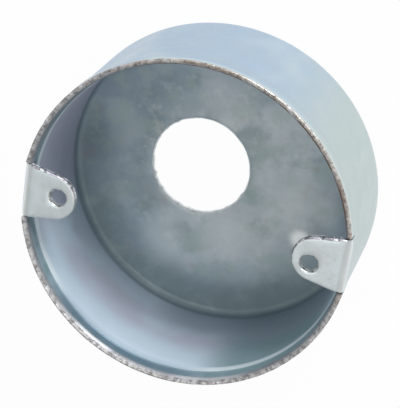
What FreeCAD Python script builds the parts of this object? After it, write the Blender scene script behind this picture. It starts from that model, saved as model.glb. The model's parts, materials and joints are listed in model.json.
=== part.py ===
"""Deep drawn round cup in plated sheet steel, with one pierced hole in its
base and two fixing ears folded in at the mouth.

The cup is one piece of sheet. It is drawn to a flat base with a tight corner,
the wall is set outward a little just below the mouth, and the mouth is cut
square. Two tongues of the wall are freed by narrow slots and folded inward,
level with the mouth, and each carries a screw hole.

Frame: millimetres, origin at the centre of the base's underside, +Z to the
mouth, the two ears towards +X and -X.
"""

import FreeCAD
import Part
import math
import os

from FreeCAD import Vector

# Sheet
SHEET = 1.2              # thickness of the steel

# Drawn body
WALL_RADIUS = 33.1       # outside of the wall, below the step
HEIGHT = 30.0            # base underside to mouth
BASE_CORNER = 1.5        # inside radius between base and wall

# Step in the wall just below the mouth
STEP_OUT = 0.3           # how far the wall moves outward
STEP_DOWN = 3.5          # mouth to the middle of the step
STEP_LENGTH = 0.7        # height of the sloping stretch

# Cut edge at the mouth
LIP_INNER = 0.35         # edge break on the inside
LIP_OUTER = 0.15         # edge break on the outside

# Hole in the base
HOLE_RADIUS = 10.4
HOLE_X = 4.66            # the hole is off the cup's axis
HOLE_Y = -1.07

# Ears
EAR_PITCH = 50.8         # between the two screw holes
EAR_LINE_Y = 0.5         # the line through them passes beside the cup's axis
EAR_HOLE_RADIUS = 1.75
EAR_HOLE_BREAK = 0.15    # chamfer on both ends of a screw hole
EAR_TIP = 3.65           # screw hole's centre to the ear's tip
EAR_END_RADIUS = 4.7     # round end of an ear
EAR_ROOT_WIDTH = 11.2    # width where the ear leaves the wall
EAR_SHIFT = 0.65         # ear's centre line, sideways from the cup's axis
EAR_BEND = 1.0           # inside radius of the fold
EAR_EDGE = 0.15          # edge break along the ear's upper edge

# Slots that free an ear from the wall
SLOT_WIDTH = 0.4
SLOT_BELOW_BEND = 0.35   # slot's end, below the start of the fold

RIM_RADIUS = WALL_RADIUS + STEP_OUT
OVER = 1.0               # how far a cutting tool runs past what it cuts


def bent_point(corner, radius, up):
    """The middle of a 90 degree corner's round, for a corner in the XZ plane
    whose material lies towards the axis and upward (up 1) or downward (-1)."""
    reach = radius * (1 - math.sqrt(0.5))
    return Vector(corner.x - reach, 0, corner.z + up * reach)


def drawn_form(inset):
    """The cup's outer form as a full solid, or, inset by the sheet, the space
    inside it."""
    radius = WALL_RADIUS - inset
    corner = BASE_CORNER + SHEET - inset
    step_middle = HEIGHT - STEP_DOWN
    base = Vector(0, 0, inset)
    base_end = Vector(radius - corner, 0, inset)
    round_middle = bent_point(Vector(radius, 0, inset), corner, 1)
    wall_start = Vector(radius, 0, inset + corner)
    wall_end = Vector(radius, 0, step_middle - STEP_LENGTH / 2)
    rim_start = Vector(radius + STEP_OUT, 0, step_middle + STEP_LENGTH / 2)
    rim_end = Vector(radius + STEP_OUT, 0, HEIGHT)
    axis_top = Vector(0, 0, HEIGHT)
    edges = [Part.makeLine(base, base_end),
             Part.Arc(base_end, round_middle, wall_start).toShape(),
             Part.makeLine(wall_start, wall_end),
             Part.makeLine(wall_end, rim_start),
             Part.makeLine(rim_start, rim_end),
             Part.makeLine(rim_end, axis_top),
             Part.makeLine(axis_top, base)]
    profile = Part.Face(Part.Wire(edges))
    return profile.revolve(Vector(0, 0, 0), Vector(0, 0, 1), 360)


def break_lip(shell):
    """Break the two edges of the cut mouth while it is still a full ring."""
    for radius, size in ((RIM_RADIUS - SHEET, LIP_INNER), (RIM_RADIUS, LIP_OUTER)):
        ring = [edge for edge in shell.Edges
                if abs(edge.BoundBox.ZMin - HEIGHT) < 1e-6
                and abs(edge.BoundBox.XMax - radius) < 1e-3]
        shell = shell.makeChamfer(size, ring)
    return shell


def drawn_cup():
    """The drawn shell with its base hole, before any ear is freed."""
    shell = drawn_form(0).cut(drawn_form(SHEET))
    shell = break_lip(shell)
    hole = Part.makeCylinder(HOLE_RADIUS, SHEET + 2 * OVER, Vector(HOLE_X, HOLE_Y, -OVER))
    return shell.cut(hole)


def slot_floor():
    """Height at which the slots beside an ear end."""
    return HEIGHT - SHEET - EAR_BEND - SLOT_BELOW_BEND


def folded_form(inset):
    """The outer form of a wall that turns inward at the mouth over a straight
    fold along Y, or, inset by the sheet, its inner form."""
    reach = RIM_RADIUS - inset
    corner = EAR_BEND + SHEET - inset
    top = HEIGHT - inset
    floor = slot_floor()
    round_start = Vector(reach, 0, top - corner)
    round_middle = bent_point(Vector(reach, 0, top), corner, -1)
    round_end = Vector(reach - corner, 0, top)
    foot = Vector(reach, 0, floor)
    edges = [Part.makeLine(Vector(0, 0, floor), foot),
             Part.makeLine(foot, round_start),
             Part.Arc(round_start, round_middle, round_end).toShape(),
             Part.makeLine(round_end, Vector(0, 0, top)),
             Part.makeLine(Vector(0, 0, top), Vector(0, 0, floor))]
    width = 2 * RIM_RADIUS
    section = Part.Face(Part.Wire(edges))
    block = section.extrude(Vector(0, width, 0))
    block.translate(Vector(0, -width / 2, 0))
    round_wall = Part.makeCylinder(reach, HEIGHT - floor, Vector(0, 0, floor))
    return block.common(round_wall)


def ear_outline():
    """Plan of an ear: a round end whose sides spread, tangent to it, to the
    root at the wall, and run straight out through the wall from there."""
    centre_x = EAR_PITCH / 2 - EAR_TIP + EAR_END_RADIUS
    root_x = RIM_RADIUS - SHEET - EAR_BEND
    half_root = EAR_ROOT_WIDTH / 2
    far_x = RIM_RADIUS + OVER
    # Tangent from the root's corner to the end circle
    across = root_x - centre_x
    distance = math.hypot(across, half_root)
    lean = math.atan2(half_root, across)
    spread = math.acos(min(1.0, EAR_END_RADIUS / distance))
    touch = lean + spread
    touch_x = centre_x + EAR_END_RADIUS * math.cos(touch)
    touch_y = EAR_END_RADIUS * math.sin(touch)
    left = [Vector(touch_x, EAR_SHIFT + touch_y, 0),
            Vector(root_x, EAR_SHIFT + half_root, 0),
            Vector(far_x, EAR_SHIFT + half_root, 0)]
    right = [Vector(far_x, EAR_SHIFT - half_root, 0),
             Vector(root_x, EAR_SHIFT - half_root, 0),
             Vector(touch_x, EAR_SHIFT - touch_y, 0)]
    tip = Vector(centre_x - EAR_END_RADIUS, EAR_SHIFT, 0)
    corners = left + right
    edges = [Part.makeLine(a, b) for a, b in zip(corners, corners[1:])]
    edges.append(Part.Arc(right[-1], tip, left[0]).toShape())
    return Part.Face(Part.Wire(edges))


def screw_hole(side):
    """The tool for the screw hole of the ear on the +X or -X side (side 1 or
    -1), flared at both faces of the sheet."""
    centre = Vector(side * EAR_PITCH / 2, EAR_LINE_Y, HEIGHT - SHEET)
    flare = EAR_HOLE_RADIUS + EAR_HOLE_BREAK
    bore = Part.makeCylinder(EAR_HOLE_RADIUS, SHEET + 2 * OVER, centre - Vector(0, 0, OVER))
    lower = Part.makeCone(flare, EAR_HOLE_RADIUS, EAR_HOLE_BREAK, centre)
    upper = Part.makeCone(EAR_HOLE_RADIUS, flare, EAR_HOLE_BREAK,
                          centre + Vector(0, 0, SHEET - EAR_HOLE_BREAK))
    return bore.fuse([lower, upper])


def folded_ear():
    """One ear on the +X side, fold and tongue, before its hole is pierced."""
    folded = folded_form(0).cut(folded_form(SHEET))
    plan = ear_outline().extrude(Vector(0, 0, HEIGHT))
    upper_edges = [edge for edge in plan.Edges
                   if edge.BoundBox.ZMin > HEIGHT - 1e-6
                   and edge.BoundBox.XMin < RIM_RADIUS]
    plan = plan.makeChamfer(EAR_EDGE, upper_edges)
    return folded.common(plan)


def ear_clearance():
    """What is cut from the wall on the +X side to free an ear: its own width
    and a round-ended slot on each side."""
    floor = slot_floor()
    half = EAR_ROOT_WIDTH / 2
    depth = 2 * SHEET + EAR_BEND + OVER
    start_x = RIM_RADIUS - depth
    length = depth + OVER
    above = HEIGHT - floor + OVER
    gap = Part.makeBox(length, EAR_ROOT_WIDTH, above, Vector(start_x, EAR_SHIFT - half, floor))
    radius = SLOT_WIDTH / 2
    for side in (-1, 1):
        middle_y = EAR_SHIFT + side * (half + radius)
        slot = Part.makeBox(length, SLOT_WIDTH, above,
                            Vector(start_x, middle_y - radius, floor))
        end = Part.makeCylinder(radius, length, Vector(start_x, middle_y, floor), Vector(1, 0, 0))
        gap = gap.fuse([slot, end])
    return gap


def build_cup():
    """The whole cup: both ears freed and folded, then their holes pierced on
    one line."""
    cup = drawn_cup()
    for turn in (0, 180):
        gap = ear_clearance()
        gap.rotate(Vector(0, 0, 0), Vector(0, 0, 1), turn)
        cup = cup.cut(gap)
    for turn in (0, 180):
        ear = folded_ear()
        ear.rotate(Vector(0, 0, 0), Vector(0, 0, 1), turn)
        cup = cup.fuse(ear)
    for side in (1, -1):
        cup = cup.cut(screw_hole(side))
    return cup.removeSplitter().Solids[0]


os.makedirs("parts", exist_ok=True)
cup = build_cup()
cup.exportStep("parts/cup.step")
box = cup.optimalBoundingBox(False)
print("cup: valid", cup.isValid(), "volume %.1f mm3" % cup.Volume,
      "box %.2f x %.2f x %.2f mm" % (box.XLength, box.YLength, box.ZLength))
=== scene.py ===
import json
import math

import bmesh
import bpy
from mathutils import Matrix, Vector, noise


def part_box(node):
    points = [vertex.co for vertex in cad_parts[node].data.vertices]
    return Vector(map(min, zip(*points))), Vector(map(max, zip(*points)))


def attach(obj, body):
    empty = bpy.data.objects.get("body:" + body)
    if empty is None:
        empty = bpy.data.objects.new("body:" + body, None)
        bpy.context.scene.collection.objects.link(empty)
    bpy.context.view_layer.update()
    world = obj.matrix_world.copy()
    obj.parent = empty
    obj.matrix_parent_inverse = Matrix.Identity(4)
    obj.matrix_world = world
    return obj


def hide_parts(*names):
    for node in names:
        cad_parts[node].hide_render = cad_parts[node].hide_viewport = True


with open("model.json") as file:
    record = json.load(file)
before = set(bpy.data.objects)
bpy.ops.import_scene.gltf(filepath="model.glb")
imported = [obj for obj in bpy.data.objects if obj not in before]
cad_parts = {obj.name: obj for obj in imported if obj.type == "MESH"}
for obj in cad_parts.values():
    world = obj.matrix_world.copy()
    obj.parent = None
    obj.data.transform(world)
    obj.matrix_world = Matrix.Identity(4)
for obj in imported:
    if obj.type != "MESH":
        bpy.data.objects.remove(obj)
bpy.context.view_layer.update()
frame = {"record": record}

# --- The drawn cup --------------------------------------------------------------
# One piece of 1.2 mm mild steel sheet, drawn to a round pan, sized outward below
# its mouth and trimmed square. Two tongues are folded in at the mouth as fixing
# ears. It was zinc plated before the last trimming, so its cut edges have rusted.
MM = 0.001
mounts = {mount["name"]: mount for mount in frame["record"]["mounts"]}
_, high_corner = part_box("cup")
height = high_corner.z
mouth_radius = high_corner.x
sheet = mounts["base_hole"]["dims"]["length_mm"] * MM
step_out = 0.3 * MM
step_length = 0.7 * MM
step_down = 3.5 * MM
step_start = height - step_down - step_length / 2
wall_radius = mouth_radius - step_out
inner_corner = 1.5 * MM
base_corner = inner_corner + sheet

hole_x, hole_y, _ = mounts["base_hole"]["pos_m"]
hole_radius = mounts["base_hole"]["dims"]["r_mm"] * MM

screw_x = mounts["ear_holes"]["dims"]["spacing_x_mm"] * MM / 2
screw_y = mounts["ear_holes"]["pos_m"][1]
screw_radius = mounts["ear_holes"]["dims"]["hole_r_mm"] * MM
ear_tip = 3.65 * MM
ear_end_radius = 4.7 * MM
ear_centre_x = screw_x - ear_tip + ear_end_radius
ear_half_root = 5.6 * MM
ear_shift = 0.65 * MM
inner_fold = 1.0 * MM
ear_fold = inner_fold + sheet
slot_width = 0.4 * MM
slot_dip = 0.4 * slot_width
slot_below_fold = 0.35 * MM
slot_floor = height - ear_fold - slot_below_fold

# The blank is laid out in columns that run up the section, closer together
# across an ear and its slots. A list of rows holds shares of the way along.
EAR_COLUMNS = 28
SLOT_COLUMNS = 4
MOUTH_COLUMNS = 300
BASE_ROWS = [0, 0.045, 0.1, 0.17, 0.28, 0.4, 0.52, 0.64, 0.76, 0.88]
CORNER_ROWS = 10
WALL_ROWS = 8
STEP_ROWS = 7
MOUTH_ROWS = [0.2, 0.38, 0.52, 1]
FOLD_ROWS = 12
TONGUE_POINTS = 72
TONGUE_ROWS = [0.22, 0.4, 0.6, 0.78, 1]


def half_turn_columns():
    """Angle and kind of each column, from an ear's first root to the next ear."""
    first = ear_shift - ear_half_root
    last = ear_shift + ear_half_root
    ear = [first + (last - first) * i / EAR_COLUMNS for i in range(EAR_COLUMNS + 1)]
    near = [last + slot_width * i / SLOT_COLUMNS for i in range(1, SLOT_COLUMNS)]
    far = [first - slot_width * (1 - i / SLOT_COLUMNS) for i in range(1, SLOT_COLUMNS)]
    start = math.asin((last + slot_width) / mouth_radius)
    end = math.pi + math.asin((first - slot_width) / mouth_radius)
    columns = [(math.asin(y / mouth_radius), "ear") for y in ear]
    columns += [(math.asin(y / mouth_radius), "slot") for y in near]
    columns += [(start + (end - start) * i / MOUTH_COLUMNS, "mouth") for i in range(MOUTH_COLUMNS + 1)]
    columns += [(math.pi + math.asin(y / mouth_radius), "slot") for y in far]
    return columns


half_turn = half_turn_columns()
columns = half_turn + [(angle + math.pi, kind) for angle, kind in half_turn]
corner_length = base_corner * math.pi / 2
wall_rise = step_start - base_corner
run_to_slot = corner_length + slot_floor - base_corner

# Each point of the wall keeps its turn, which is its angle round the cup, and
# its run, which is the length of sheet below it.
blank = bmesh.new()
turn_layer = blank.verts.layers.float.new("turn")
run_layer = blank.verts.layers.float.new("run")
wall_layer = blank.verts.layers.float.new("wall")
cut_layer = blank.verts.layers.float.new("cut_edge")
bare_layer = blank.verts.layers.float.new("bare_edge")
ear_layer = blank.verts.layers.float.new("ear")


def flat_row(points):
    """A row of points that stay where the blank has them."""
    return [blank.verts.new(point) for point in points]


def wall_row(places):
    """A row of points that are drawn up into the wall, from (turn, run)."""
    row = []
    for turn, run in places:
        vert = blank.verts.new((math.cos(turn), math.sin(turn), run))
        vert[turn_layer] = turn
        vert[run_layer] = run
        vert[wall_layer] = 1
        row.append(vert)
    return row


def join_rows(lower, upper, closed=False):
    """Faces between two rows of points, and round to the start when closed."""
    count = len(lower)
    for i in range(count if closed else count - 1):
        j = (i + 1) % count
        blank.faces.new((lower[i], lower[j], upper[j], upper[i]))


corner_start = wall_radius - base_corner
hole_centre = Vector((hole_x, hole_y, 0))
rows = []
for share in BASE_ROWS:
    points = []
    for angle, _ in columns:
        way = Vector((math.cos(angle), math.sin(angle), 0))
        points.append((hole_centre + way * hole_radius).lerp(way * corner_start, share))
    rows.append(flat_row(points))
runs = [corner_length * i / CORNER_ROWS for i in range(CORNER_ROWS + 1)]
runs += [corner_length + wall_rise * i / WALL_ROWS for i in range(1, WALL_ROWS + 1)]
runs += [corner_length + wall_rise + step_length * i / STEP_ROWS for i in range(1, STEP_ROWS + 1)]
for run in runs:
    rows.append(wall_row([(angle, run) for angle, _ in columns]))
rows.append(wall_row([(angle, run_to_slot - (slot_dip if kind == "slot" else 0))
                      for angle, kind in columns]))
for lower, upper in zip(rows, rows[1:]):
    join_rows(lower, upper, closed=True)
slot_row = rows[-1]

# The mouth's stretches stand up on both sides, from one slot to the next.
half = len(half_turn)
for side in (0, 1):
    first = side * half + EAR_COLUMNS + SLOT_COLUMNS
    lower = slot_row[first:first + MOUTH_COLUMNS + 1]
    for share in MOUTH_ROWS:
        run = run_to_slot + (height - slot_floor) * share
        upper = wall_row([(vert[turn_layer], run) for vert in lower])
        join_rows(lower, upper)
        lower = upper


def tongue_edge():
    """Points round the free edge of the ear at +X, from its first root to its
    second: straight flanks, tangent to a round end."""
    def on_end(angle):
        return Vector((ear_centre_x + ear_end_radius * math.cos(angle),
                       ear_end_radius * math.sin(angle), height))

    root_x = mouth_radius - ear_fold
    across = root_x - ear_centre_x
    root_reach = math.hypot(across, ear_half_root)
    touch = math.atan2(ear_half_root, across) + math.acos(ear_end_radius / root_reach)
    root = Vector((root_x, ear_half_root, height))
    end = on_end(touch)
    flank = (root - end).length
    sweep = 2 * (math.pi - touch)
    total = 2 * flank + sweep * ear_end_radius
    points = []
    for i in range(1, TONGUE_POINTS):
        run = total * i / TONGUE_POINTS
        back = total - run
        if min(run, back) < flank:
            point = root.lerp(end, min(run, back) / flank)
            point.y *= -1 if run < back else 1
        else:
            point = on_end(-touch - (run - flank) / ear_end_radius)
        points.append(point + Vector((0, ear_shift, 0)))
    return points


# Each ear is folded in, then its tongue is filled in rings round its screw hole.
for side in (0, 1):
    turn = Matrix.Rotation(math.pi * side, 4, "Z")
    lower = slot_row[side * half:side * half + EAR_COLUMNS + 1]
    ys = [mouth_radius * math.sin(vert[turn_layer] - math.pi * side) for vert in lower]
    for i in range(1, FOLD_ROWS + 1):
        angle = math.pi / 2 * i / FOLD_ROWS
        fold_x = mouth_radius - ear_fold + ear_fold * math.cos(angle)
        fold_z = height - ear_fold + ear_fold * math.sin(angle)
        points = [Vector((min(math.sqrt(mouth_radius ** 2 - y * y), fold_x), y, fold_z)) for y in ys]
        upper = flat_row([turn @ point for point in points])
        for vert in upper:
            vert[ear_layer] = i / FOLD_ROWS
        join_rows(lower, upper)
        lower = upper
    screw = Vector((screw_x, screw_y * (1 - 2 * side), height))
    edge = tongue_edge()
    rim_points = points[::-1] + edge
    flanks = flat_row([turn @ point for point in edge])
    tongue = list(flanks)
    outer = upper[::-1] + flanks
    for share in TONGUE_ROWS:
        inner_points = [point.lerp(screw + (point - screw).normalized() * screw_radius, share)
                        for point in rim_points]
        inner = flat_row([turn @ point for point in inner_points])
        tongue += inner
        join_rows(inner, outer, closed=True)
        outer = inner
    for vert in tongue:
        vert[ear_layer] = 1

# Every free edge of the blank was cut, and all but the holes' edges are bare.
CLOSE = 0.01 * MM
for vert in blank.verts:
    if vert.is_boundary:
        vert[cut_layer] = 1
        in_base_hole = vert[wall_layer] == 0 and vert.co.z == 0
        from_screw = (Vector((abs(vert.co.x), vert.co.y)) - Vector((screw_x, screw_y))).length
        in_screw_hole = abs(from_screw - screw_radius) < CLOSE
        vert[bare_layer] = 0 if in_base_hole or in_screw_hole else 1
data = bpy.data.meshes.new("drawn_cup")
outer_count = len(blank.verts)
blank.to_mesh(data)
blank.free()
cup = bpy.data.objects.new("drawn_cup", data)
bpy.context.scene.collection.objects.link(cup)


class Socket:
    """A socket of a node tree. Sums on it add Math nodes, and node() adds any
    other node."""

    def __init__(self, tree, source=None):
        self.tree = tree
        self.source = source

    def node(self, kind, settings=None, values=None, output=0):
        """Add a node: its settings first, a ramp's stops among them, then the
        values or links of its sockets, by name or number."""
        made = self.tree.nodes.new(kind)
        for name, setting in (settings or {}).items():
            if name == "stops":
                elements = made.color_ramp.elements
                for index, (position, colour) in enumerate(setting):
                    stop = elements[index] if index < 2 else elements.new(position)
                    stop.position = position
                    stop.color = colour
            else:
                setattr(made, name, setting)
        for name, value in (values or {}).items():
            if isinstance(value, Socket):
                self.tree.links.new(value.source, made.inputs[name])
            else:
                made.inputs[name].default_value = value
        return Socket(self.tree, made.outputs[output]) if len(made.outputs) else None

    def other(self, output):
        """Another output of the same node."""
        return Socket(self.tree, self.source.node.outputs[output])

    def math(self, operation, *others):
        return self.node("ShaderNodeMath", {"operation": operation}, dict(enumerate((self,) + others)))

    def between(self, low, high):
        """0 below low and 1 above high, with a smooth rise."""
        return self.node("ShaderNodeMapRange", {"interpolation_type": "SMOOTHSTEP"},
                         {"Value": self, "From Min": low, "From Max": high})

    def __add__(self, other):
        return self.math("ADD", other)

    def __sub__(self, other):
        return self.math("SUBTRACT", other)

    def __rsub__(self, other):
        return self.node("ShaderNodeMath", {"operation": "SUBTRACT"}, {0: other, 1: self})

    def __mul__(self, other):
        return self.math("MULTIPLY", other)

    def __truediv__(self, other):
        return self.math("DIVIDE", other)

    def __rtruediv__(self, other):
        return self.node("ShaderNodeMath", {"operation": "DIVIDE"}, {0: other, 1: self})

    __radd__ = __add__
    __rmul__ = __mul__


# The press: a tree that draws the flat blank up into the pan, lets the mouth
# spring a little oval as the ears are folded, and leaves its cut edges ragged.
press = bpy.data.node_groups.new("press", "GeometryNodeTree")
press.interface.new_socket("Blank", in_out="INPUT", socket_type="NodeSocketGeometry")
press.interface.new_socket("Cup", in_out="OUTPUT", socket_type="NodeSocketGeometry")
PRESS_SIZES = {
    "Wall Radius": wall_radius, "Base Corner": base_corner, "Height": height,
    "Step Start": step_start, "Step Length": step_length, "Step Out": step_out,
    "Oval": 0.3 * MM, "Oval Direction": math.radians(101), "Screw Reach": screw_x + screw_radius,
    "Hole X": hole_x, "Hole Y": hole_y, "Hole Radius": hole_radius,
    "Hole Lip": 0.15 * MM, "Hole Lip Width": 4 * MM,
    "Ragged Edge": 0.16 * MM, "Ragged Size": 0.9 * MM, "Seed": 7.0,
}
press_inputs = {name: press.interface.new_socket(name, in_out="INPUT", socket_type="NodeSocketFloat")
                for name in PRESS_SIZES}
finish_input = press.interface.new_socket("Finish", in_out="INPUT", socket_type="NodeSocketMaterial")

start = Socket(press).node("NodeGroupInput", output="Blank")
size = {name: start.other(name) for name in PRESS_SIZES}


def noted(name):
    """What each point of the blank has under this name."""
    return start.node("GeometryNodeInputNamedAttribute", {"data_type": "FLOAT"}, {"Name": name})


turn, run, wall, cut_edge = noted("turn"), noted("run"), noted("wall"), noted("cut_edge")
corner = size["Base Corner"]
bend = (run / corner).math("MINIMUM", math.pi / 2)
rise = (run - corner * (math.pi / 2)).math("MAXIMUM", 0)
wall_z = corner - corner * bend.math("COSINE") + rise
step = ((wall_z - size["Step Start"]) / size["Step Length"]).between(0, 1)
reach = size["Wall Radius"] - corner + corner * bend.math("SINE") + size["Step Out"] * step
drawn_place = start.node("ShaderNodeCombineXYZ", {}, {
    "X": reach * turn.math("COSINE"), "Y": reach * turn.math("SINE"), "Z": wall_z})
drawn = start.node("GeometryNodeSetPosition", {}, {
    "Geometry": start, "Selection": wall.math("GREATER_THAN", 0.5), "Position": drawn_place})

x = start.node("ShaderNodeSeparateXYZ", {}, {0: start.node("GeometryNodeInputPosition")})
y, z = x.other("Y"), x.other("Z")
out = (x * x + y * y).math("SQRT")
round_angle = y.math("ARCTAN2", x)
spring = (z / size["Height"]).between(0.1, 1) * out.between(size["Screw Reach"], size["Wall Radius"])
lobe = (round_angle - size["Oval Direction"]) * 2
swell = size["Oval"] * lobe.math("COSINE") * spring
from_x, from_y = x - size["Hole X"], y - size["Hole Y"]
from_hole = (from_x * from_x + from_y * from_y).math("SQRT") - size["Hole Radius"]
near_hole = 1 - (from_hole / size["Hole Lip Width"]).between(0, 1)
lip = size["Hole Lip"] * near_hole * (1 - z.between(0, size["Base Corner"]))
grain = start.node("ShaderNodeTexNoise", {"noise_dimensions": "4D"}, {
    "Vector": start.node("GeometryNodeInputPosition"), "W": size["Seed"],
    "Scale": 1 / size["Ragged Size"], "Detail": 2.0, "Roughness": 0.6}, output="Color")
grain_x = start.node("ShaderNodeSeparateXYZ", {}, {0: grain})
grain_y, grain_z = grain_x.other("Y"), grain_x.other("Z")
bite = cut_edge.math("GREATER_THAN", 0.5) * size["Ragged Edge"]
sprung = start.node("GeometryNodeSetPosition", {}, {
    "Geometry": drawn, "Offset": start.node("ShaderNodeCombineXYZ", {}, {
        "X": x / out * swell + (grain_x - 0.5) * bite,
        "Y": y / out * swell + (grain_y - 0.5) * bite,
        "Z": lip - grain_z * bite * 0.5})})
real = start.node("GeometryNodeRealizeInstances", {}, {"Geometry": sprung})
plated = start.node("GeometryNodeSetMaterial", {}, {"Geometry": real, "Material": start.other("Finish")})
plated.node("NodeGroupOutput", {}, {"Cup": plated})

zinc = bpy.data.materials.new("zinc_plate")
pressing = cup.modifiers.new("press", "NODES")
pressing.node_group = press
for name, value in PRESS_SIZES.items():
    pressing[press_inputs[name].identifier] = value
pressing[finish_input.identifier] = zinc
thickness = cup.modifiers.new("sheet thickness", "SOLIDIFY")
thickness.thickness = sheet
thickness.offset = -1
thickness.use_even_offset = True
thickness.use_quality_normals = True


def set_as_evaluated(piece):
    """Replace a piece's mesh with the result of its modifiers, and drop them."""
    bpy.context.view_layer.update()
    result = bpy.data.meshes.new_from_object(piece.evaluated_get(bpy.context.evaluated_depsgraph_get()))
    piece.modifiers.clear()
    piece.data = result
    result.name = piece.name


set_as_evaluated(cup)

# Depth tells the faces of the sheet apart: 0 on the outer one, whose points come
# first in the thickened mesh, and 1 on the inner one.
edges = bmesh.new()
edges.from_mesh(cup.data)
cut_layer = edges.verts.layers.float["cut_edge"]
ear_layer = edges.verts.layers.float["ear"]
bare_layer = edges.verts.layers.float["bare_edge"]
depth_layer = edges.verts.layers.float.new("depth")
for vert in edges.verts:
    vert[depth_layer] = 0 if vert.index < outer_count else 1


def is_cut(vert):
    return vert[cut_layer] > 0.99


def under_base(vert):
    return vert.co.z < 0.5 * sheet


def under_ear(vert):
    return vert[ear_layer] == 1 and vert[depth_layer] == 1


# A punch leaves a burr where it comes out: under the base and under each ear.
BASE_BURR = 0.5 * MM
EAR_BURR = 0.22 * MM
BURR_SIZE = 1.3 * MM
for vert in edges.verts:
    if is_cut(vert) and vert[bare_layer] == 0:
        unevenness = noise.noise(vert.co / BURR_SIZE)
        if under_base(vert):
            centre = Vector((hole_x, hole_y, vert.co.z))
            vert.co += (centre - vert.co).normalized() * BASE_BURR * max(0, unevenness)
        elif under_ear(vert):
            side = math.copysign(1, vert.co.x)
            centre = Vector((side * screw_x, side * screw_y, vert.co.z))
            vert.co += (centre - vert.co).normalized() * EAR_BURR * (1 + 0.5 * unevenness)

# The plating barrel breaks the edges: most along the mouth's inner lip, less on
# top of the base hole and of the ears, and least elsewhere.
LIP_BREAK = 1.0 * MM
HOLE_BREAK = 0.5 * MM
EAR_BREAK = 0.32 * MM
OTHER_BREAK = 0.12 * MM
MOUTH_DEPTH = 0.4 * MM


def break_edges(belongs, width, segments):
    """Round the edges along the cuts of the sheet, on one face of it."""
    along = []
    for edge in edges.edges:
        first, second = edge.verts
        same_face = first[depth_layer] == second[depth_layer]
        if same_face and all(is_cut(vert) and belongs(vert) for vert in edge.verts):
            along.append(edge)
    bmesh.ops.bevel(edges, geom=along, offset=width, offset_type="OFFSET", segments=segments,
                    profile=0.5, affect="EDGES", clamp_overlap=False)


def at_mouth(vert):
    return vert[ear_layer] == 0 and vert.co.z > height - MOUTH_DEPTH


def on_inner_lip(vert):
    return at_mouth(vert) and vert[depth_layer] == 1


def on_ear_top(vert):
    return vert[ear_layer] > 0.7 and vert[depth_layer] == 0


def on_hole_top(vert):
    return vert.co.z < 1.5 * sheet and vert[depth_layer] == 1


def on_other_edge(vert):
    outer_lip = at_mouth(vert) and vert[depth_layer] == 0
    return outer_lip or under_ear(vert) or under_base(vert)


break_edges(on_inner_lip, LIP_BREAK, 6)
break_edges(on_ear_top, EAR_BREAK, 4)
break_edges(on_hole_top, HOLE_BREAK, 4)
break_edges(on_other_edge, OTHER_BREAK, 3)
edges.to_mesh(cup.data)
edges.free()
for polygon in cup.data.polygons:
    polygon.use_smooth = True
cup.data.set_sharp_from_angle(angle=math.radians(40))

# The finish: blue-passivated zinc, bright outside, hazy inside, with a darker
# film on the base. Colours are linear.
zinc.use_nodes = True
shader = zinc.node_tree.nodes["Principled BSDF"]
place = Socket(zinc.node_tree).node("ShaderNodeTexCoord", output="Object")
x = place.node("ShaderNodeSeparateXYZ", {}, {0: place})
y, z = x.other("Y"), x.other("Z")
out = (x * x + y * y).math("SQRT")


def towards(degrees):
    """1 on the side of the cup at this angle, -1 on the opposite side."""
    angle = math.radians(degrees)
    return (x * math.cos(angle) + y * math.sin(angle)) / out.math("MAXIMUM", MM)


def clouds(size, detail, low, high, stretch=1, seed=0.0):
    """Soft patches of a size in metres, 0 to 1, drawn out along Z by stretch."""
    moved = place.node("ShaderNodeMapping", {}, {
        "Vector": place, "Location": (seed, seed * 2, seed * 3), "Scale": (1, 1, 1 / stretch)})
    haze = place.node("ShaderNodeTexNoise", {}, {
        "Vector": moved, "Scale": 1 / size, "Detail": detail, "Roughness": 0.6})
    return haze.between(low, high)


def disc(centre_x, centre_y, inner, outer):
    """1 within the inner radius of a centre in plan, 0 beyond the outer."""
    from_x, from_y = x - centre_x, y - centre_y
    return 1 - ((from_x * from_x + from_y * from_y).math("SQRT")).between(inner, outer)


def tint(base, colour, share):
    """A colour laid over another, by its share."""
    def socket(value):
        return value if isinstance(value, Socket) else (*value, 1)

    return place.node("ShaderNodeMix", {"data_type": "RGBA"},
                      {0: share, 6: socket(base), 7: socket(colour)}, output=2)


OUTSIDE_BLUE = (0.40, 0.52, 0.64)
OUTSIDE_GREEN = (0.55, 0.63, 0.60)
OUTSIDE_WHITE = (0.64, 0.70, 0.71)
OUTSIDE_PAINTED_HIGHLIGHT = (0.70, 0.78, 0.75)
OUTSIDE_PAINTED_SHADE = (0.40, 0.47, 0.50)
INSIDE_HAZE = (0.60, 0.71, 0.81)
INSIDE_PURPLE = (0.50, 0.49, 0.60)
INSIDE_TEAL_PAINTED_SHADE = (0.22, 0.34, 0.37)
INSIDE_PAINTED_SHADE = (0.30, 0.35, 0.42)
BAND_SLATE = (0.22, 0.32, 0.36)
BAND_PAINTED_SHADE = (0.08, 0.14, 0.20)
CORNER_PAINTED_SHADE = (0.17, 0.23, 0.27)
STEP_PAINTED_HIGHLIGHT = (0.78, 0.86, 0.90)
STEP_PAINTED_SHADE = (0.34, 0.44, 0.52)
LIP_BRIGHT = (0.34, 0.36, 0.39)
LIP_PAINTED_GLINT = (0.72, 0.74, 0.77)
BASE_SLATE = (0.27, 0.34, 0.39)
BASE_LIGHT = (0.50, 0.55, 0.56)
BASE_FILM_AND_PAINTED_SHADE = (0.18, 0.24, 0.25)
BASE_WORN_AND_PAINTED_HIGHLIGHT = (0.58, 0.62, 0.62)
BASE_PAINTED_HIGHLIGHT = (0.92, 0.93, 0.92)
BASE_GREEN = (0.33, 0.42, 0.39)
BASE_RUST = (0.42, 0.34, 0.31)
HOLE_WALL_AND_PAINTED_LIGHT = (0.86, 0.90, 0.90)
HOLE_GREY = (0.50, 0.54, 0.54)
SCREW_WALL = (0.55, 0.57, 0.56)
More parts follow.
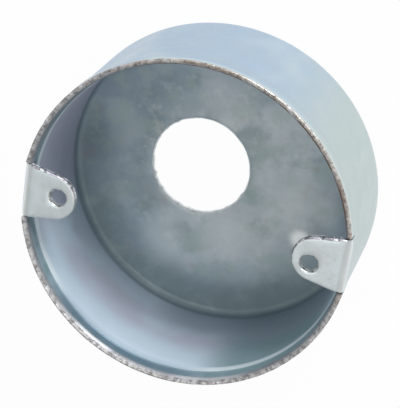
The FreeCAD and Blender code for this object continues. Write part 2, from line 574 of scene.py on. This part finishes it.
EAR_GREY = (0.69, 0.76, 0.78)
EAR_BEIGE = (0.70, 0.68, 0.63)
EAR_SPOT = (0.56, 0.59, 0.60)
EAR_FOLD_PAINTED_LIGHT = (0.90, 0.94, 0.94)
FLANK_LILAC = (0.50, 0.49, 0.55)
FLANK_DARK = (0.12, 0.11, 0.13)
CUT_STEEL = (0.70, 0.67, 0.63)
CUT_LILAC = (0.56, 0.56, 0.58)
CUT_GREY = (0.25, 0.245, 0.25)
PAINTED_GLINT = (0.85, 0.86, 0.88)
RUST_BROWN = (0.24, 0.15, 0.10)
RUST_DARK = (0.10, 0.07, 0.06)


def attribute(name):
    """What each point of the finished cup has under this name."""
    return place.node("ShaderNodeAttribute", {"attribute_name": name}, output="Fac")


# Where each finish lies, from 0 to 1: by face, by height and by side of the cup.
depth = attribute("depth")
inside = depth.between(0.5, 0.6)
on_base = 1 - z.between(sheet + 0.3 * MM, sheet + 2.2 * MM)
on_ear = attribute("ear").between(0.1, 0.6)
edge_mark = attribute("bare_edge")
hole_wall = attribute("cut_edge").between(0.6, 0.95) * (1 - edge_mark.between(0.2, 0.5))
screw_hole = hole_wall * z.between(height / 2, height / 2 + MM)
fold = attribute("ear").between(0.02, 0.3) * (1 - attribute("ear").between(0.5, 1))
flank = on_ear * edge_mark.between(0.35, 0.6)
near_flank = flank * (1 - y.between(-1.5 * MM, 2.5 * MM))
bare = edge_mark.between(0.55, 0.85) * (1 - depth.between(0.5, 0.62))
torn_top = inside * edge_mark.between(0.3, 0.8) * z.between(height - 0.5 * MM, height - 0.2 * MM)
bare = bare.math("MAXIMUM", torn_top) * (1 - on_ear) * z.between(height - 1.5 * MM, height - MM)
below_lip = 1 - z.between(height - 0.2 * MM, height - 0.05 * MM)
lip = edge_mark.between(0.05, 0.3) * inside * (1 - bare) * (1 - on_ear)
near_side = towards(-130).between(0.2, 0.7)
rust_side = near_side * 0.35 + towards(-138).between(0.85, 0.95) * 0.65
above_step = z.between(step_start + 0.6 * step_length, step_start + step_length)
on_step = z.between(step_start - 0.1 * MM, step_start + 0.2 * MM) * (1 - above_step)
under_step = z.between(step_start - 1.3 * MM, step_start - 0.5 * MM) * (1 - above_step)
below_step = z.between(step_start - 1.2 * MM, step_start - 0.3 * MM) * (1 - on_step - above_step)
far_wall = towards(72).between(0.80, 0.95)
past_corner = z.between(sheet + 1.2 * MM, sheet + 2.4 * MM)
at_corner = z.between(sheet + 0.2 * MM, sheet + 0.8 * MM) * (1 - past_corner)

# Outside the wall the plate is blue, and greener and whiter in places.
outside = tint(OUTSIDE_BLUE, OUTSIDE_GREEN, towards(-165).between(0.55, 0.95) * 0.8)
outside = tint(outside, OUTSIDE_WHITE, clouds(14 * MM, 2.0, 0.5, 0.75, stretch=2, seed=0.31) * 0.4)
outside = tint(outside, OUTSIDE_GREEN, clouds(5 * MM, 3.0, 0.5, 0.8, seed=0.11) * 0.25)
# Painted highlights: a white line along the step, and a paler band under the mouth on the near side.
# Painted shade lies just below the step.
outside = tint(outside, OUTSIDE_WHITE, on_step * 0.6)
outside = tint(outside, OUTSIDE_PAINTED_HIGHLIGHT, z.between(height - 2 * MM, height - 0.5 * MM) * near_side * 0.5)
outside = tint(outside, OUTSIDE_PAINTED_SHADE, below_step * 0.35)

# In the bore it is hazy, purple half way up, with painted shade low down on the far side and on two
# sides, and a slate band above the step.
middle = z.between(4 * MM, 11 * MM) * (1 - z.between(14 * MM, 22 * MM))
bore = tint(INSIDE_HAZE, INSIDE_PURPLE, middle * clouds(14 * MM, 2.0, 0.35, 0.65, seed=0.53) * 0.75)
# Painted shade, teal, on the side at about 130 degrees.
bore = tint(bore, INSIDE_TEAL_PAINTED_SHADE, towards(132).between(0.84, 0.97) * 0.85)
# On the side at about -13 degrees the purple is a tint and painted shade both.
bore = tint(bore, INSIDE_PURPLE, towards(-13).between(0.75, 0.95) * 0.8)
# Painted shade low down on the far side and at about 135 degrees.
far_painted_shade = 0.3 * towards(75).between(0.2, 0.9) + 0.45 * towards(100).between(0.88, 0.99)
bore = tint(bore, INSIDE_PAINTED_SHADE, (1 - z.between(8 * MM, 15 * MM)) * far_painted_shade)
bore = tint(bore, INSIDE_PAINTED_SHADE, (1 - z.between(12 * MM, 20 * MM)) * towards(135).between(0.9, 0.98) * 0.7)
bore = tint(bore, BAND_SLATE, above_step * (0.8 + 0.2 * clouds(5 * MM, 3.0, 0.4, 0.6, seed=0.63)))
# Painted shade on the band and the step on the far wall, and a painted highlight just under the step
# elsewhere.
bore = tint(bore, BAND_PAINTED_SHADE, above_step * far_wall * 0.7)
bore = tint(bore, STEP_PAINTED_HIGHLIGHT, under_step * (1 - far_wall) * 0.8)
bore = tint(bore, STEP_PAINTED_SHADE, (on_step * 0.8).math("MAXIMUM", under_step * 0.3) * far_wall)
bore = tint(bore, LIP_BRIGHT, lip * (1 - near_side))
bore = tint(bore, CUT_GREY, lip * clouds(1.1 * MM, 3.0, 0.45, 0.6, seed=0.91) * 0.6)
# Painted highlights on the inner lip on the far side.
lip_painted_glints = towards(63).between(0.985, 0.997) + towards(108).between(0.96, 0.99)
bore = tint(bore, LIP_PAINTED_GLINT, lip * lip_painted_glints * 0.6)

# The inside of the base has a dark film in patches, worn through in places, and painted shade along the
# far side and in the corner at about 130 degrees.
base = tint(BASE_SLATE, BASE_LIGHT, disc(-4 * MM, 2 * MM, 12 * MM, 30 * MM) * 0.75
            + clouds(10 * MM, 3.0, 0.4, 0.65, seed=0.21) * 0.4 - 0.1)
base = tint(base, BASE_FILM_AND_PAINTED_SHADE, clouds(8 * MM, 5.0, 0.46, 0.68, seed=0.77) * 0.5)
base = tint(base, BASE_GREEN, clouds(5 * MM, 4.0, 0.48, 0.64, seed=0.29) * 0.5)
fine_spots = clouds(3 * MM, 5.0, 0.52, 0.7, seed=0.41)
base = tint(base, BASE_LIGHT, fine_spots * disc(0, 0, 18 * MM, 26 * MM) * 0.6)
base = tint(base, BASE_RUST, clouds(5 * MM, 3.0, 0.58, 0.75, seed=0.19) * 0.4)
uneven = clouds(6 * MM, 4.0, 0.3, 0.6, seed=0.39) * 0.5 + 0.4
border = 1 - disc(0, 0, 21 * MM, 28 * MM)
narrow_border = 1 - disc(0, 0, 24 * MM, 31 * MM)
# Painted shade along the far side and in the corner at about 130 degrees.
base = tint(base, BASE_FILM_AND_PAINTED_SHADE, border * towards(75).between(0.1, 0.7) * uneven)
base = tint(base, BASE_FILM_AND_PAINTED_SHADE, narrow_border * towards(130).between(0.9, 0.98) * 0.6)

# Each patch: its colour, its centre in plan, the two radii it fades between and
# its share.
BASE_PATCHES = (
    # The first two dark patches are painted shade, by the far wall and beside the base hole.
    (BASE_FILM_AND_PAINTED_SHADE, 9 * MM, 23 * MM, 0.5 * MM, 5 * MM, 0.4),
    (BASE_FILM_AND_PAINTED_SHADE, 15.5 * MM, 9 * MM, 1 * MM, 6 * MM, 0.45),
    (BASE_WORN_AND_PAINTED_HIGHLIGHT, 10 * MM, 17.5 * MM, 1 * MM, 7 * MM, 0.45),
    (BASE_WORN_AND_PAINTED_HIGHLIGHT, -3 * MM, 13 * MM, 2 * MM, 9 * MM, 0.65),
    (BASE_WORN_AND_PAINTED_HIGHLIGHT, 1 * MM, -17 * MM, 1 * MM, 8 * MM, 0.3),
    (BASE_WORN_AND_PAINTED_HIGHLIGHT, -16 * MM, 1 * MM, 1 * MM, 8 * MM, 0.4),
    # The last two light patches are a painted highlight on the base by the -X ear.
    (BASE_WORN_AND_PAINTED_HIGHLIGHT, -17.8 * MM, 8.6 * MM, 1 * MM, 5 * MM, 0.5),
    (BASE_PAINTED_HIGHLIGHT, -18.6 * MM, 9.6 * MM, 0.8 * MM, 2.8 * MM, 1),
)
for patch, centre_x, centre_y, inner, outer, share in BASE_PATCHES:
    base = tint(base, patch, disc(centre_x, centre_y, inner, outer) * share)

# The ears are pale grey and spotted, with painted light along the fold that makes it nearly white. Their
# sheared flanks are lilac with dark tears and painted glints.
ear = tint(EAR_GREY, EAR_BEIGE, clouds(4 * MM, 2.0, 0.5, 0.75, seed=0.9) * 0.35)
ear = tint(ear, EAR_SPOT, clouds(1.2 * MM, 3.0, 0.56, 0.72, seed=0.61) * 0.35)
smudge = disc(-19.5 * MM, 0, 1 * MM, 9 * MM) * clouds(3 * MM, 3.0, 0.35, 0.6, seed=0.69)
ear = tint(ear, EAR_SPOT, smudge * 0.8)
# Painted light along the fold.
ear = tint(ear, EAR_FOLD_PAINTED_LIGHT, fold)
sheared = tint(FLANK_LILAC, FLANK_DARK, clouds(1.4 * MM, 3.0, 0.42, 0.58, seed=0.57))
sheared = tint(sheared, PAINTED_GLINT, clouds(1.0 * MM, 2.0, 0.52, 0.62, seed=0.37))
ear = tint(ear, sheared, near_flank * 0.9)

# The bare cut edge of the mouth is grey steel, with rust mostly on the near side and painted glints.
cut = tint(CUT_STEEL, CUT_LILAC, (1 - near_side) * 0.8)
cut = tint(cut, CUT_GREY, clouds(1.0 * MM, 4.0, 0.45, 0.6, seed=0.33) * (0.85 - 0.35 * near_side))
cut = tint(cut, RUST_BROWN, clouds(5 * MM, 3.0, 0.45, 0.58, seed=0.15) * (0.1 + 0.3 * near_side))
cut = tint(cut, RUST_DARK, clouds(0.6 * MM, 4.0, 0.52, 0.62, seed=0.65) * (0.4 + 0.2 * near_side))
cut = tint(cut, PAINTED_GLINT, clouds(1.3 * MM, 2.0, 0.6, 0.7, seed=0.45) * 0.6)

# All of them laid over one another.
colour = tint(outside, bore, inside)
colour = tint(colour, base, on_base * inside)
# Painted shade in the corner round the base.
colour = tint(colour, CORNER_PAINTED_SHADE, at_corner * inside * 0.5)
colour = tint(colour, ear, on_ear)
# The hole walls are plated zinc, painted near white partly as painted light.
sheared_wall = tint(HOLE_WALL_AND_PAINTED_LIGHT, HOLE_GREY, clouds(1.5 * MM, 3.0, 0.45, 0.65, seed=0.59) * 0.5)
colour = tint(colour, sheared_wall, hole_wall)
screw_wall = tint(SCREW_WALL, FLANK_DARK, clouds(0.8 * MM, 2.0, 0.52, 0.62, seed=0.87) * 0.7)
# Painted glints on the screw holes' walls.
screw_wall = tint(screw_wall, PAINTED_GLINT, clouds(1.1 * MM, 2.0, 0.54, 0.62, seed=0.13))
colour = tint(colour, screw_wall, screw_hole)
colour = tint(colour, cut, bare)
lip_rust = inside * edge_mark.between(0.05, 0.4) * (1 - on_ear) * below_lip * rust_side
colour = tint(colour, RUST_BROWN, lip_rust * clouds(6 * MM, 3.0, 0.38, 0.52, seed=0.71))

# Fine speckle, upright draw marks, torn cut edges and small dents in the ears.
speckle = clouds(0.9 * MM, 4.0, 0.35, 0.75, seed=0.35)
draw_marks = clouds(0.7 * MM, 2.0, 0.3, 0.7, stretch=24, seed=0.05)
torn = clouds(0.45 * MM, 3.0, 0.3, 0.7, seed=0.5) * bare.math("MAXIMUM", near_flank)
dents = clouds(3.5 * MM, 1.0, 0.3, 0.7, seed=0.25) * on_ear
metal = 0.9 - 0.5 * inside * (1 - lip) * (1 - bare)
rough = (0.36 + 0.1 * inside + 0.08 * speckle + 0.1 * clouds(6 * MM, 2.0, 0.4, 0.7, seed=0.95)
         - 0.02 * bare + 0.14 * lip)
relief = speckle * 0.5 + draw_marks * 0.5 * (1 - on_base) + torn * 4 + dents * 3
bump = place.node("ShaderNodeBump", {}, {
    "Strength": 0.35, "Distance": 0.02 * MM, "Height": relief}, output="Normal")
links = zinc.node_tree.links
links.new(colour.source, shader.inputs["Base Color"])
links.new(metal.source, shader.inputs["Metallic"])
links.new(rough.source, shader.inputs["Roughness"])
links.new(bump.source, shader.inputs["Normal"])

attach(cup, "root")
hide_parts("cup")

# --- The white paper --------------------------------------------------------------
# The cup stands on a sheet of matt white paper. The paper looks plain white to
# the camera and in the metal, and keeps a little of the cup's shadow.
PAPER_HALF = 1.5
PAPER_GLOW = 0.97
paper_mesh = bpy.data.meshes.new("paper")
paper_mesh.from_pydata([(-PAPER_HALF, -PAPER_HALF, 0), (PAPER_HALF, -PAPER_HALF, 0),
                        (PAPER_HALF, PAPER_HALF, 0), (-PAPER_HALF, PAPER_HALF, 0)], [], [(0, 1, 2, 3)])
paper = bpy.data.objects.new("paper", paper_mesh)
bpy.context.scene.collection.objects.link(paper)
white = bpy.data.materials.new("white_paper")
white.use_nodes = True
matt = white.node_tree.nodes["Principled BSDF"]
matt.inputs["Base Color"].default_value = (0.7, 0.7, 0.7, 1)
matt.inputs["Roughness"].default_value = 0.9
camera_ray = Socket(white.node_tree).node("ShaderNodeLightPath", output="Is Camera Ray")
seen = camera_ray.math("MAXIMUM", camera_ray.other("Is Glossy Ray"))
glow = seen.node("ShaderNodeEmission", {}, {"Strength": 1.0})
surface = seen.node("ShaderNodeMixShader", {}, {
    0: seen * PAPER_GLOW, 1: Socket(white.node_tree, matt.outputs[0]), 2: glow})
white.node_tree.links.new(surface.source, white.node_tree.nodes["Material Output"].inputs["Surface"])
paper_mesh.materials.append(white)

# --- Lamps and camera ---------------------------------------------------------------
# White studio walls all round, one low soft box in front, which lights the far
# side of the bore over the near rim, and a small one overhead for the ears.
studio = bpy.data.worlds.new("studio")
bpy.context.scene.world = studio
studio.use_nodes = True
studio.node_tree.nodes["Background"].inputs["Color"].default_value = (1, 1, 1, 1)
studio.node_tree.nodes["Background"].inputs["Strength"].default_value = 0.5


def direction(azimuth, elevation):
    """The way from the cup to a place round it and above it, in degrees."""
    a, e = math.radians(azimuth), math.radians(elevation)
    return Vector((math.cos(e) * math.cos(a), math.cos(e) * math.sin(a), math.sin(e)))


def soft_box(name, azimuth, elevation, distance, size, watts):
    """A square lamp aimed at the middle of the cup."""
    lamp = bpy.data.lights.new(name, "AREA")
    lamp.size = size
    lamp.energy = watts
    box = bpy.data.objects.new(name, lamp)
    away = direction(azimuth, elevation)
    box.location = Vector((0, 0, height / 2)) + away * distance
    box.rotation_euler = away.to_track_quat("Z", "Y").to_euler()
    bpy.context.scene.collection.objects.link(box)


soft_box("front_box", azimuth=-110, elevation=15, distance=0.7, size=0.3, watts=5)
soft_box("top_box", azimuth=-115, elevation=88, distance=0.7, size=0.3, watts=1.0)

# The camera looks down into the cup and is rolled far over. It is aimed a little
# beside the middle of the mouth.
view_azimuth = -115.3
view_elevation = 62.81
view_roll = math.radians(-142.75)
view_distance = 0.3083
aim_right = 3.547 * MM
aim_up = 4.648 * MM
back = direction(view_azimuth, view_elevation)
level_up = direction(view_azimuth, view_elevation + 90)
level_right = level_up.cross(back)
right = level_right * math.cos(view_roll) + level_up * math.sin(view_roll)
up = level_up * math.cos(view_roll) - level_right * math.sin(view_roll)
lens = bpy.data.cameras.new("camera")
lens.lens = 141.9
camera = bpy.data.objects.new("camera", lens)
stand = Vector((0, 0, height)) + right * aim_right + up * aim_up + back * view_distance
camera.matrix_world = Matrix.Translation(stand) @ Matrix((right, up, back)).transposed().to_4x4()
bpy.context.scene.collection.objects.link(camera)
bpy.context.scene.camera = camera
bpy.context.scene.view_settings.view_transform = "Standard"
